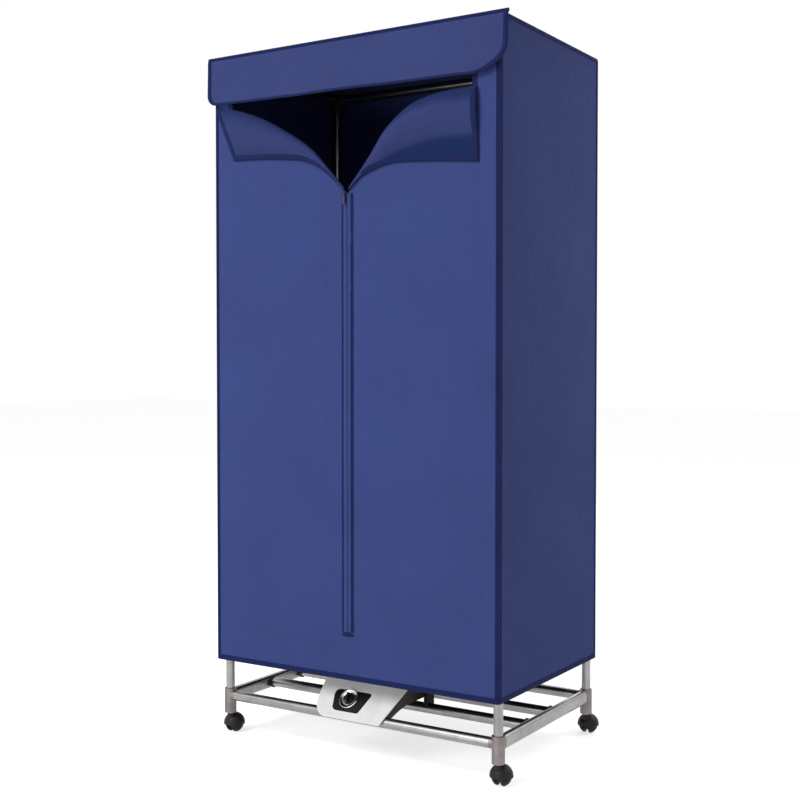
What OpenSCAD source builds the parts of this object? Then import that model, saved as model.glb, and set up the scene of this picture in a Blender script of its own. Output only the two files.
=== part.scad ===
// Portable drying cabinet: a zipped cloth cover on a tube frame that rolls on four twin-wheel
// casters, with a fan heater carried low on the base rails. Millimetres, +Z up, origin on the
// floor under the middle of the cover. The front faces -Y.

/* [Cover] */
// Width of the cloth cover
cover_w = 700; // [640:10:800]
// Depth of the cloth cover
cover_d = 456; // [430:2:520]
// Height of the cover's roof above the floor
cover_top = 1482; // [1400:2:1600]
// Height of the cover's hem above the floor
hem_z = 168; // [160:1:180]
// Thickness of the coated cloth
cloth_t = 1.6; // [1.2:0.1:2]
// Radius of the rolled piping along the cover's edges
piping_r = 5; // [4:0.5:6]
// Height of the binding sewn round the hem
hem_h = 9; // [6:1:12]

/* [Front opening] */
// Height of the apron below the zip, above the hem
apron_h = 99; // [60:1:140]
// Depth of the unzipped stretch below the roof
unzipped_h = 315; // [280:5:360]
// Rise of the left door's fold from the open end of the zip
left_fold_rise = 200; // [185:1:206]
// Rise of the right door's fold from the open end of the zip
right_fold_rise = 172; // [160:1:206]
// Bulge of the left door's top edge above the straight fold
left_bulge = 26; // [10:1:45]
// Bulge of the right door's top edge above the straight fold
right_bulge = 50; // [10:1:56]
// Width of the upright strip of cloth beside each folded flap
stile_w = 48; // [35:1:60]
// Height of the left flap's free corner above the open end of the zip
left_corner_rise = 88; // [60:1:100]
// Height of the right flap's free corner above the open end of the zip
right_corner_rise = 36; // [20:1:60]
// Bulge of a flap's free edge
flap_edge_bulge = 34; // [15:1:36]
// Loft of the rolled flap in front of the cover
flap_loft = 8; // [4:0.5:8]
// Width of one zip tape
tape_w = 12; // [10:0.5:16]
// Width and height of one half of the zip's coil
coil = 2.2; // [1.6:0.1:3]

/* [Valance] */
// Height of the valance over the opening
valance_h = 104; // [80:1:104]
// How far the valance reaches past each side of the cover
valance_over = 13; // [0:1:20]
// Radius of the valance's lower corners
valance_corner_r = 50; // [20:1:70]
// Radius of the bead that the valance hangs from
bead_r = 3.5; // [3:0.1:4.5]

/* [Frame] */
// Outside diameter of the posts, the top rails and the middle rails
post_d = 19; // [16:1:20]
// Wall of every tube
tube_wall = 1; // [0.8:0.1:1.5]
// Outside diameter of the base rails and the heater's rails
rail_d = 22; // [20:1:24]
// Height of the base rails' axes above the floor
rail_z = 84; // [82:1:90]
// Width of the flat-oval side rails of the base
side_rail_w = 18; // [16:1:20]
// Height of the flat-oval side rails of the base
side_rail_h = 30; // [24:1:32]
// Outside diameter of the corner sockets and connectors
socket_d = 26; // [24:0.5:28]
// Length of a spigot inside its tube
spigot_len = 28; // [20:1:40]
// Height of the middle tier's rails above the floor
mid_z = 800; // [700:10:900]
// Diameter of the hanging rods
rod_d = 16; // [12:1:18]
// Distance between the two hanging rods of a tier
rod_pitch = 170; // [120:5:240]
// Distance from the cabinet's middle forward to the front heater rail
heater_rail_front = 60; // [50:1:70]
// Distance from the cabinet's middle back to the rear heater rail
heater_rail_back = 50; // [40:1:60]

/* [Casters] */
// Diameter of a caster wheel
wheel_d = 38; // [36:1:40]
// Width of the flat tread of a caster wheel
tread_w = 1.6; // [1:0.2:2.4]
// Thickness of the hood's web between the two wheels
web_t = 12; // [11:0.5:14]
// Distance from the swivel axis back to the axle
trail = 13; // [8:0.5:15]
// Diameter of the caster's axle
axle_d = 6; // [5:0.5:7]
// Diameter of the caster's stem
stem_d = 8; // [6:0.5:9]
// Height of the hood's top above the floor
hood_top = 44; // [44:0.5:46]

/* [Heater] */
// Height of the heater's lid above the floor
heater_top = 206; // [200:1:230]
// Height of the tub's floor above the floor
tub_floor = 118; // [116:1:122]
// Distance from the cabinet's middle back to the tub's rear wall
tub_back = 112; // [96:1:124]
// Distance from the heater's middle to its left flank
heater_left = 99; // [94:1:112]
// Half-width of the heater at its lower right corner
heater_right_low = 71; // [64:1:84]
// Half-width of the heater at its shoulder
heater_right_high = 113; // [102:1:124]
// Slope of the fascia, in degrees from level
fascia_tilt = 48; // [46:1:56]
// Wall of the heater's housing
shell_t = 2.5; // [2:0.1:3]
// Thickness of the fascia
fascia_t = 3; // [2:0.1:3.2]
// Diameter of the timer knob
knob_d = 23; // [20:1:28]
// Height of the timer knob above its panel
knob_h = 13; // [9:1:18]
// Width of the dished bezel round the timer knob
bezel_w = 10; // [8:0.5:11]
// Distance of the timer knob left of the heater's middle
knob_left = 21; // [18:1:26]
// Distance of the timer knob up the fascia from its lower edge
knob_up = 46; // [44:1:50]
// Diameter of the fan's blades
fan_d = 118; // [100:2:124]
// Number of fan blades
fan_blades = 7; // [5:1:9]
// Distance from the cabinet's middle forward to the fan's axis
fan_front = 32; // [28:1:36]

/* [Hidden] */
$fn = 64;

// Clearances
run_gap = 0.05;       // radial, between a shaft and its bore
push_gap = 0.3;       // radial, between a spigot and its tube
seat_gap = 0.3;       // between pieces that rest on each other
cover_gap = 0.4;      // between the cover and the widest part of the frame
front_slack = 11;     // the front of the cover hangs this far off the sockets
back_slack = 3;       // and the back this far
seam_gap = 0.4;       // between the door panels and what they close against

// Planes and axes
y_front = -cover_d / 2;
y_back = cover_d / 2;
edge_x = cover_w / 2 - piping_r;
edge_y = cover_d / 2 - piping_r;
post_x = cover_w / 2 - cloth_t - cover_gap - socket_d / 2;
post_y_front = y_front + cloth_t + front_slack + socket_d / 2;
post_y_back = y_back - cloth_t - back_slack - socket_d / 2;
CORNERS = [[-1, -1], [1, -1], [-1, 1], [1, 1]];

// Frame heights and reaches
collar_reach = socket_d / 2 + 4;
socket_bottom = hood_top + 2;
socket_top = rail_z + side_rail_h / 2 + 1;
tube_grip = 34;       // length of a post held in a socket or connector
post_seat = socket_top - tube_grip;
stem_seat_depth = 16;
stem_plug_d = stem_d + 2.6;
mid_barrel_h = 56;
web_h = 4;
connector_top = cover_top - cloth_t - seat_gap;
cap_h = 4;
cap_d = 2 * (edge_x - post_x - seat_gap);
barrel_top = min(connector_top - cap_h, cover_top - piping_r - cover_gap);
top_z = barrel_top - post_d / 2 - 2;
top_barrel_bottom = top_z - tube_grip;
spigot_wall = 2.4;

// Hanging rods hook over the side rails
hook_wall = 3.2;
hook_len = 22;
hook_socket_len = 20;
rod_end_x = post_x - post_d / 2 - hook_wall - 3;
hook_mouth = 0.72;    // the mouth's share of the rail's diameter

// Front opening
zip_bottom_z = hem_z + apron_h;
vee_z = cover_top - unzipped_h;
valance_bottom = cover_top - piping_r - valance_h + 5;
fold_end_x = cover_w / 2 - stile_w;
hinge_x = edge_x - seat_gap;
tape_t = 1;
tape_top = vee_z - 4;
valance_y = y_front - bead_r - 0.7;
valance_z = cover_top - piping_r;

// Zip slider and its pull
slider_w = 8.2;
slider_h = 16;
slider_plate = 1.6;
slider_lift = 8;      // top of the slider above the open end of the zip
pull_d = 4.4;
pull_pin_d = 1.6;
pull_w = 4;
pull_tab_w = 7;
pull_len = 24;
pull_t = 1.4;
slider_y = y_front - tape_t - coil - seat_gap;
pull_y = slider_y - slider_plate - pull_d / 2 - 0.5;
pull_z = vee_z - 2;

// Casters
wheel_r = wheel_d / 2;
wheel_in = web_t / 2 + 0.6;
ball_r = norm([wheel_r, wheel_in + tread_w]);
hood_gap = 1.1;
hood_shell = 1.7;
hood_skirt = 0.9;     // share of the wheel's radius at which the hood's skirt ends
neck_d = web_t + 2;
stem_hole_depth = 18;
axle_grip = 7;        // length of the axle inside a wheel
wheel_groove_r = 13;
wheel_groove_w = 1.2;

// Heater
lid_h = 16;
shoulder_drop = 40;
lip_z = rail_z - 2;
lip_y = post_y_front - (rail_d / 2 + 2 * seat_gap + fascia_t) / sin(fascia_tilt)
    - (rail_z - lip_z) / tan(fascia_tilt);
lid_z = heater_top - lid_h;
shoulder_z = heater_top - shoulder_drop;
flank_slant = (heater_right_high - heater_right_low) / (shoulder_z - lip_z);
flank_corner_r = 36;
rear_foot_w = 80;
rear_foot_d = 24;
side_foot_w = 9;
side_foot_d = 28;
side_foot_low = 8;    // bottom of a side foot above the rail's axis
side_foot_drop = 32;  // top of a side foot below the shoulder
side_foot_top = shoulder_z - side_foot_drop;
side_foot_x = heater_right_low + (side_foot_top - lip_z) * flank_slant + 0.5;
arch_ahead = 58;      // apex of the cheeks' arch ahead of the front heater rail
arch_rise = 25;       // and above the fascia's lower edge
arch_r = 100;
fan_y = -fan_front;
fan_z = tub_floor + 16;
fan_h = 24;
blade_w = 26;          // width of a fan blade before it is pitched
gland_rise = 24;       // height of the cable gland above the tub's floor
gland_z = tub_floor + gland_rise;
hub_d = 46;
motor_d = 36;
motor_h = 22;
fan_shaft_d = 5;
intake_d = fan_d + 16;
element_w = 132;
element_d = 104;
element_h = 18;
element_z = fan_z + fan_h + 8;
panel_t = 1.4;
panel_left_r = 11;    // rounding of the panel's left corners
panel_right_r = 5;
panel_below = 28;     // reach of the panel below the knob's axis, up the fascia
panel_above = 20;
panel_left_low = 31;  // reach of its lower corner left of the knob's axis
panel_left_high = 43;
panel_right_low = 32;
panel_right_high = 50;
timer_w = 30;
timer_h = 26;
finger_bar_w = 6;
bezel_h = 4;
bezel_floor = 1;      // height of the dish at the knob
bezel_hollow = 1.2;   // depth of the dish's curve below its chord
shaft_d = 6;
rod_gap = rail_d / 2 + seat_gap;

// ---------- helpers ----------

function flip(side) = side < 0 ? 1 : 0;

// Points of an arc from p to q that bulges by rise to the left of the way from p to q
function arc_points(p, q, rise, steps) =
    let (chord = q - p, half = norm(chord) / 2,
         r = (half * half + rise * rise) / (2 * rise),
         normal = [chord[1], -chord[0]] / norm(chord),
         centre = (p + q) / 2 + normal * (r - rise),
         start = atan2(p[1] - centre[1], p[0] - centre[0]),
         turn = -2 * asin(half / r))
    [for (i = [0:steps]) centre + r * [cos(start + turn * i / steps), sin(start + turn * i / steps)]];

// Points of the corner p rounded by r, in a counterclockwise outline that comes from a and goes to b
function rounded(a, p, b, r, steps) =
    let (u = (a - p) / norm(a - p), v = (b - p) / norm(b - p), half = acos(u * v) / 2,
         centre = p + (u + v) / norm(u + v) * r / sin(half),
         from = p + u * r / tan(half) - centre, start = atan2(from[1], from[0]))
    [for (i = [0:steps]) let (a = start + (180 - 2 * half) * i / steps) centre + r * [cos(a), sin(a)]];

module along_x() { rotate([0, 90, 0]) children(); }
module along_y() { rotate([-90, 0, 0]) children(); }

// A 2D outline in X and Z made into a sheet that runs from y back by t
module sheet_xz(y, t) {
    translate([0, y + t, 0]) rotate([90, 0, 0]) linear_extrude(t) children();
}

// A 2D outline in Y and Z made into a bar from x0 to x1
module bar_yz(x0, x1) {
    translate([x0, 0, 0]) rotate([90, 0, 90]) linear_extrude(x1 - x0) children();
}

module box(low, high) { translate(low) cube(high - low); }

module on_left_or_right(side) { mirror([flip(side), 0, 0]) children(); }

module at_corner(c) {
    translate([c[0] * post_x, c[1] < 0 ? post_y_front : post_y_back, 0])
        mirror([1 - flip(c[0]), 0, 0]) mirror([0, 1 - flip(c[1]), 0]) children();
}

module tube_z(d, z0, z1) {
    translate([0, 0, z0]) difference() {
        cylinder(d = d, h = z1 - z0);
        translate([0, 0, -1]) cylinder(d = d - 2 * tube_wall, h = z1 - z0 + 2);
    }
}

module stadium(w, h) {
    square([w, h - w], center = true);
    for (s = [-1, 1]) translate([0, s * (h - w) / 2]) circle(d = w);
}

// ---------- frame ----------

module cross_rail(d, y, z, reach) {
    translate([-reach, y, z]) along_x() tube_z(d, 0, 2 * reach);
}

module base_rail(y) {
    color("silver") cross_rail(rail_d, y, rail_z, post_x - collar_reach);
}

module base_side_rail(side) {
    length = post_y_back - post_y_front - 2 * collar_reach;
    color("silver") translate([side * post_x, post_y_front + collar_reach, rail_z]) along_y()
        linear_extrude(length) difference() {
            stadium(side_rail_w, side_rail_h);
            stadium(side_rail_w - 2 * tube_wall, side_rail_h - 2 * tube_wall);
        }
}

bracket_plate = 3;
bracket_x = post_x - side_rail_w / 2;

module heater_rails() {
    color("silver") for (y = [-heater_rail_front, heater_rail_back])
        cross_rail(rail_d, y, rail_z, bracket_x - bracket_plate);
}

// A plate on the side rail's inner face with a hollow spigot inside the heater rail
module heater_rail_bracket() {
    spigot_d = rail_d - 2 * tube_wall - 2 * push_gap;
    translate([-bracket_x, 0, rail_z]) along_x() difference() {
        union() {
            linear_extrude(bracket_plate) stadium_plate(rail_d + 6, 12);
            cylinder(d = spigot_d, h = bracket_plate + spigot_len);
        }
        translate([0, 0, -1]) cylinder(d = spigot_d - 2 * spigot_wall, h = spigot_len + bracket_plate + 2);
    }
}

// The plate's outline: a round pad with two square shoulders that hold its screws
module stadium_plate(d, shoulder) {
    circle(d = d);
    square([shoulder, d + 12], center = true);
}

module heater_rail_brackets() {
    color("dimgray") for (y = [-heater_rail_front, heater_rail_back], side = [-1, 1])
        translate([0, y, 0]) mirror([1 - flip(side), 0, 0]) heater_rail_bracket();
}

// Corner socket: a barrel that takes the post above and the caster's stem below, with a round
// spigot for the cross rail and a flat-oval one for the side rail
module base_socket() {
    round_d = rail_d - 2 * tube_wall - 2 * push_gap;
    oval_w = side_rail_w - 2 * tube_wall - 2 * push_gap;
    oval_h = side_rail_h - 2 * tube_wall - 2 * push_gap;
    difference() {
        union() {
            translate([0, 0, socket_bottom]) cylinder(d = socket_d, h = socket_top - socket_bottom);
            translate([0, 0, rail_z]) along_x() {
                cylinder(d = rail_d, h = collar_reach);
                cylinder(d = round_d, h = collar_reach + spigot_len);
            }
            translate([0, 0, rail_z]) along_y() {
                linear_extrude(collar_reach) stadium(side_rail_w, side_rail_h);
                linear_extrude(collar_reach + spigot_len) stadium(oval_w, oval_h);
            }
        }
        translate([0, 0, post_seat]) cylinder(d = post_d + 2 * push_gap, h = socket_top);
        translate([0, 0, socket_bottom - 1])
            cylinder(d = stem_plug_d + 2 * run_gap, h = stem_seat_depth + 1);
    }
}

module base_sockets() {
    color("darkgray") for (c = CORNERS) at_corner(c) base_socket();
}

module lower_post(c) {
    color("silver") at_corner(c) tube_z(post_d, post_seat, mid_z - web_h / 2);
}

module upper_posts() {
    color("silver") for (c = CORNERS) at_corner(c)
        tube_z(post_d, mid_z + web_h / 2, top_z - post_d / 2 - web_h);
}

module spigot(d, along_len) {
    difference() {
        union() {
            cylinder(d = d, h = collar_reach);
            cylinder(d = d - 2 * tube_wall - 2 * push_gap, h = along_len);
        }
        translate([0, 0, socket_d / 2])
            cylinder(d = d - 2 * tube_wall - 2 * push_gap - 2 * spigot_wall, h = along_len);
    }
}

// Middle connector: joins the lower and the upper post and carries a side rail
module mid_connector() {
    difference() {
        union() {
            translate([0, 0, mid_z - mid_barrel_h / 2]) cylinder(d = socket_d, h = mid_barrel_h);
            translate([0, 0, mid_z]) along_y() spigot(post_d, collar_reach + spigot_len);
        }
        for (s = [-1, 1]) translate([0, 0, mid_z + s * (web_h / 2 + mid_barrel_h / 2)])
            cylinder(d = post_d + 2 * push_gap, h = mid_barrel_h, center = true);
    }
}

module mid_connectors() {
    color("dimgray") for (c = CORNERS) at_corner(c) mid_connector();
}

// Top connector: a capped barrel with spigots for the cross rail and the side rail
module top_connector() {
    difference() {
        union() {
            translate([0, 0, top_barrel_bottom]) cylinder(d = socket_d, h = barrel_top - top_barrel_bottom);
            translate([0, 0, barrel_top]) cylinder(d = cap_d, h = connector_top - barrel_top);
            translate([0, 0, top_z]) along_x() spigot(post_d, collar_reach + spigot_len);
            translate([0, 0, top_z]) along_y() spigot(post_d, collar_reach + spigot_len);
        }
        translate([0, 0, top_barrel_bottom - 1])
            cylinder(d = post_d + 2 * push_gap, h = top_z - post_d / 2 - web_h - top_barrel_bottom + 1);
    }
}

module top_connectors() {
    color("dimgray") for (c = CORNERS) at_corner(c) top_connector();
}

module side_rails(z) {
    length = post_y_back - post_y_front - 2 * collar_reach;
    color("silver") for (side = [-1, 1])
        translate([side * post_x, post_y_front + collar_reach, z]) along_y() tube_z(post_d, 0, length);
}

module top_cross_rails() {
    color("silver") for (y = [post_y_front, post_y_back])
        cross_rail(post_d, y, top_z, post_x - collar_reach);
}

module hanging_rods(z) {
    color("lightgray") for (side = [-1, 1]) cross_rail(rod_d, side * rod_pitch / 2, z, rod_end_x);
}

// Rod hook: a clip over the side rail with a socket for the rod's end
module rod_hook() {
    ring_d = post_d + 2 * seat_gap + 2 * hook_wall;
    difference() {
        union() {
            translate([0, -hook_len / 2, 0]) along_y() cylinder(d = ring_d, h = hook_len);
            translate([-post_x + rod_end_x - hook_socket_len, 0, 0]) along_x()
                cylinder(d = rod_d + 2 * hook_wall, h = post_x - rod_end_x + hook_socket_len);
        }
        translate([0, -hook_len, 0]) along_y() cylinder(d = post_d + 2 * seat_gap, h = 2 * hook_len);
        translate([-post_x + rod_end_x - hook_socket_len - 1, 0, 0]) along_x()
            cylinder(d = rod_d + 2 * push_gap, h = hook_socket_len + 1);
        box([-post_d * hook_mouth / 2, -hook_len, -ring_d], [post_d * hook_mouth / 2, hook_len, 0]);
    }
}

module rod_hooks() {
    color("dimgray") for (z = [mid_z, top_z], y = [-rod_pitch / 2, rod_pitch / 2], side = [-1, 1])
        on_left_or_right(side) translate([post_x, y, z]) rod_hook();
}

// ---------- casters ----------

module caster_stem() {
    translate([0, 0, hood_top - stem_hole_depth + 1]) cylinder(d = stem_d, h = stem_hole_depth);
    translate([0, 0, hood_top + seat_gap])
        cylinder(d = stem_d + 8, h = socket_bottom - hood_top - seat_gap);
    translate([0, 0, socket_bottom]) cylinder(d = stem_plug_d, h = stem_seat_depth - 1);
}

module caster_stems() {
    color("silver") for (c = CORNERS) at_corner(c) caster_stem();
}

module place_caster(c) {
    translate([c[0] * post_x, c[1] < 0 ? post_y_front : post_y_back, 0]) children();
}

// Side view of the hood's web: a disc round the axle and a block under the stem
module hood_web_outline() {
    translate([trail, wheel_r]) circle(d = axle_d + 20);
    translate([-stem_d / 2 - 2, wheel_r]) square([trail + stem_d / 2 + 2, hood_top - wheel_r]);
}

// Hood: a domed shell over the wheels, with a web between them and a neck that takes the stem
module caster_hood() {
    inner_r = ball_r + hood_gap;
    outer_r = inner_r + hood_shell;
    color("black") difference() {
        union() {
            intersection() {
                bar_yz(-web_t / 2, web_t / 2) hood_web_outline();
                union() {
                    translate([0, trail, wheel_r]) sphere(r = outer_r - 0.5);
                    cylinder(d = neck_d, h = hood_top);
                }
            }
            difference() {
                union() {
                    translate([0, trail, wheel_r]) sphere(r = outer_r);
                    translate([0, 0, wheel_r]) cylinder(d = neck_d, h = hood_top - wheel_r);
                }
                translate([0, trail, wheel_r]) sphere(r = inner_r);
                box([-outer_r - 1, trail - outer_r - 1, wheel_r - outer_r - 1],
                    [outer_r + 1, trail + outer_r + 1, wheel_r * hood_skirt]);
            }
        }
        translate([0, 0, hood_top - stem_hole_depth])
            cylinder(d = stem_d + 2 * run_gap, h = stem_hole_depth + 1);
        translate([-web_t, trail, wheel_r]) along_x() cylinder(d = axle_d + 2 * run_gap, h = 2 * web_t);
    }
}

// A domed wheel: a ball cut down to the tread, with a bore for the axle and a ring groove
module caster_wheel() {
    difference() {
        intersection() {
            sphere(r = ball_r);
            translate([0, 0, wheel_in]) cylinder(r = wheel_r, h = ball_r);
        }
        translate([0, 0, wheel_in - 1]) cylinder(d = axle_d + 2 * run_gap, h = axle_grip + seat_gap + 1);
        translate([0, 0, sqrt(ball_r * ball_r - wheel_groove_r * wheel_groove_r) - 1]) difference() {
            cylinder(r = wheel_groove_r, h = ball_r);
            translate([0, 0, -1]) cylinder(r = wheel_groove_r - wheel_groove_w, h = ball_r + 2);
        }
    }
}

module caster_wheels() {
    color("black") translate([0, trail, wheel_r]) {
        for (side = [-1, 1]) on_left_or_right(side) along_x() caster_wheel();
        translate([-wheel_in - axle_grip, 0, 0]) along_x()
            cylinder(d = axle_d, h = 2 * (wheel_in + axle_grip));
    }
}

// ---------- cover ----------

panel_bottom = hem_z + hem_h;
panel_top = cover_top - piping_r;

module cover_roof() {
    color("royalblue") box([-edge_x, -edge_y, cover_top - cloth_t], [edge_x, edge_y, cover_top]);
}

module cover_back() {
    color("royalblue") box([-edge_x, y_back - cloth_t, panel_bottom], [edge_x, y_back, panel_top]);
}

module cover_side(side) {
    color("royalblue") on_left_or_right(side)
        box([cover_w / 2 - cloth_t, -edge_y, panel_bottom], [cover_w / 2, edge_y, panel_top]);
}

module cover_apron() {
    color("royalblue")
        box([-edge_x, y_front, panel_bottom], [edge_x, y_front + cloth_t, zip_bottom_z - seam_gap]);
}

// The upright strips above the doors, behind the valance
module cover_stiles() {
    color("royalblue") for (side = [-1, 1]) on_left_or_right(side)
        box([fold_end_x, y_front, fold_end(side)[1] + seam_gap], [edge_x, y_front + cloth_t, panel_top]);
}

module quarter_disc() {
    intersection() {
        circle(r = piping_r);
        square(piping_r);
    }
}

// Piping: a rolled bead in each edge of the box, and the binding round its hem
module cover_piping() {
    color("midnightblue") {
        for (c = CORNERS) mirror([1 - flip(-c[0]), 0, 0]) mirror([0, 1 - flip(-c[1]), 0])
            translate([edge_x, edge_y, 0]) {
                translate([0, 0, panel_bottom]) linear_extrude(panel_top - panel_bottom) quarter_disc();
                translate([0, 0, panel_top]) intersection() {
                    sphere(r = piping_r);
                    cube(piping_r);
                }
            }
        for (side = [-1, 1]) on_left_or_right(side) translate([edge_x, edge_y, panel_top])
            rotate([90, 0, 0]) linear_extrude(2 * edge_y) quarter_disc();
        for (side = [-1, 1]) mirror([0, flip(side), 0]) translate([-edge_x, edge_y, panel_top])
            rotate([90, 0, 90]) linear_extrude(2 * edge_x) quarter_disc();
        hem_binding();
    }
}

module hem_binding() {
    for (side = [-1, 1]) on_left_or_right(side)
        box([cover_w / 2 - cloth_t, y_front, hem_z], [cover_w / 2, y_back, panel_bottom]);
    for (y = [y_front, y_back - cloth_t])
        box([-cover_w / 2 + cloth_t, y, hem_z], [cover_w / 2 - cloth_t, y + cloth_t, panel_bottom]);
}

// A door's fold runs straight from the zip's open end to the fold's outer end
function vee() = [seam_gap, vee_z];
function fold_end(side) = [fold_end_x, vee_z + (side < 0 ? left_fold_rise : right_fold_rise)];
function flap_corner(side) = [fold_end_x, vee_z + (side < 0 ? left_corner_rise : right_corner_rise)];

// The door's top edge bulges above the fold, and the flap's free edge curves below it
function door_edge(side) = arc_points(vee(), fold_end(side), side < 0 ? left_bulge : right_bulge, 14);
function flap_edge(side) = arc_points(vee(), flap_corner(side), flap_edge_bulge, 12);

// One door panel: the front cloth from the zip to its seam, with the roll of cloth above the fold
module door_panel(side) {
    color("royalblue") on_left_or_right(side) {
        sheet_xz(y_front, cloth_t) polygon(concat([[hinge_x, zip_bottom_z], [seam_gap, zip_bottom_z]],
            door_edge(side), [[hinge_x, fold_end(side)[1]]]));
        sheet_xz(y_front - flap_loft, flap_loft + cloth_t / 2) polygon(door_edge(side));
    }
}

// The corner of the cloth that is turned back over the door panel: what lies below the fold line
module flap(side) {
    edge = flap_edge(side);
    along = (fold_end(side) - vee()) / norm(fold_end(side) - vee());
    low = vee() + [along[1], -along[0]] * seam_gap;
    reach = cover_w;
    color("cornflowerblue") on_left_or_right(side) sheet_xz(y_front - flap_loft, flap_loft - seam_gap)
        difference() {
            polygon(concat(door_edge(side), [for (i = [len(edge) - 1:-1:1]) edge[i]]));
            polygon([low - along * reach, low + along * reach, low + along * reach + [0, reach],
                low - along * reach + [0, reach]]);
        }
}

module zip_tape(side) {
    color("midnightblue") on_left_or_right(side) {
        box([seam_gap, y_front - tape_t, zip_bottom_z], [seam_gap + tape_w, y_front, tape_top]);
        box([seam_gap, y_front - tape_t - coil, zip_bottom_z],
            [seam_gap + coil, y_front - tape_t, tape_top]);
    }
}

// The slider runs on the left door's half of the zip
module zip_slider() {
    right_x = -seam_gap - 0.3;
    left_x = right_x - slider_w;
    low = vee_z + slider_lift - slider_h - 12;
    lug = 1.4;
    color("gainsboro") {
        box([left_x, slider_y - slider_plate, low], [right_x, slider_y, low + slider_h]);
        box([left_x, slider_y, low],
            [-seam_gap - coil - seat_gap, y_front - tape_t - seat_gap, low + slider_h]);
        for (x = [left_x, right_x - lug])
            box([x, pull_y - 1, pull_z - 3], [x + lug, slider_y - slider_plate + 0.2, pull_z + 1.2]);
        translate([left_x, pull_y, pull_z]) along_x() cylinder(d = pull_pin_d, h = slider_w);
    }
}

module zip_pull() {
    centre_x = -seam_gap - 0.3 - slider_w / 2;
    bore = pull_pin_d + 2 * run_gap;
    color("gainsboro") difference() {
        union() {
            translate([centre_x - pull_w / 2, pull_y, pull_z]) along_x() cylinder(d = pull_d, h = pull_w);
            box([centre_x - pull_w / 2, pull_y - pull_t / 2, pull_z - 8],
                [centre_x + pull_w / 2, pull_y + pull_t / 2, pull_z]);
            box([centre_x - pull_tab_w / 2, pull_y - pull_t / 2, pull_z - pull_len],
                [centre_x + pull_tab_w / 2, pull_y + pull_t / 2, pull_z - 6]);
        }
        translate([centre_x - pull_w, pull_y, pull_z]) along_x() cylinder(d = bore, h = 2 * pull_w);
    }
}

module valance_outline() {
    half = cover_w / 2 + valance_over;
    r = valance_corner_r;
    translate([-half, valance_bottom + r]) square([2 * half, valance_z - valance_bottom - r]);
    translate([-half + r, valance_bottom]) square([2 * half - 2 * r, r + 1]);
    for (side = [-1, 1]) translate([side * (half - r), valance_bottom + r]) circle(r = r);
}

// Valance: a flap that hangs from a bead along the roof's front edge
module valance() {
    half = cover_w / 2 + valance_over;
    color("royalblue") {
        sheet_xz(valance_y - bead_r, cloth_t) valance_outline();
        translate([-half, valance_y, valance_z]) along_x() cylinder(r = bead_r, h = 2 * half);
    }
}

// ---------- heater ----------

// Front view of the heater: upright left flank with a round lower corner, slanted right flank
module heater_outline(inset) {
    left = -heater_left + inset;
    low = lip_z + inset;
    r = flank_corner_r - inset;
    in_x = inset * sqrt(1 + flank_slant * flank_slant);
    polygon([[left + r, low], [heater_right_low - in_x + flank_slant * inset, low],
        [heater_right_high - in_x, shoulder_z], [heater_right_high - inset, heater_top + 1],
        [left, heater_top + 1], [left, low + r]]);
    intersection() {
        translate([left + r, low + r]) circle(r = r);
        translate([left, low]) square(r + 1);
    }
}

module heater_flanks(inset) {
    translate([0, tub_back, 0]) rotate([90, 0, 0])
        linear_extrude(tub_back - lip_y + 20) heater_outline(inset);
}

// Distance back along Y from the fascia's face at its lip, at height z, with the face moved in by depth
function slope_y(z, depth) = lip_y + (z - lip_z) / tan(fascia_tilt) + depth / sin(fascia_tilt);

// Side view of everything behind the fascia between two heights
module behind_fascia(depth, z0, z1, back) {
    polygon([[slope_y(z0, depth), z0], [back, z0], [back, z1], [slope_y(z1, depth), z1]]);
}

// Side view of the tub's cheeks: a foot on the front rail, and an arch that runs level to the side feet
module cheek_outline() {
    apex_y = -heater_rail_front - arch_ahead;
    apex_z = lip_z + arch_rise;
    back_y = -heater_rail_front + side_foot_d / 2;
    toe_z = rail_z + rail_d / 2 + 1;
    difference() {
        polygon([[post_y_front, rail_z], [apex_y, rail_z], [apex_y, apex_z], [back_y, apex_z],
            [back_y, tub_floor + 1], [slope_y(tub_floor + 1, fascia_t), tub_floor + 1],
            [slope_y(toe_z, fascia_t), toe_z]]);
        translate([apex_y, apex_z - arch_r]) circle(r = arch_r);
    }
}

// Upright feet at both sides of the tub stand on the front heater rail
module side_feet() {
    for (side = [-1, 1]) on_left_or_right(side)
        box([side_foot_x - side_foot_w, -heater_rail_front - side_foot_d / 2, rail_z + side_foot_low],
            [side_foot_x, -heater_rail_front + side_foot_d / 2, side_foot_top]);
}

module rail_saddles() {
    for (y = [post_y_front, -heater_rail_front, heater_rail_back])
        translate([-cover_w / 2, y, rail_z]) along_x() cylinder(r = rod_gap, h = cover_w);
}

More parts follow.
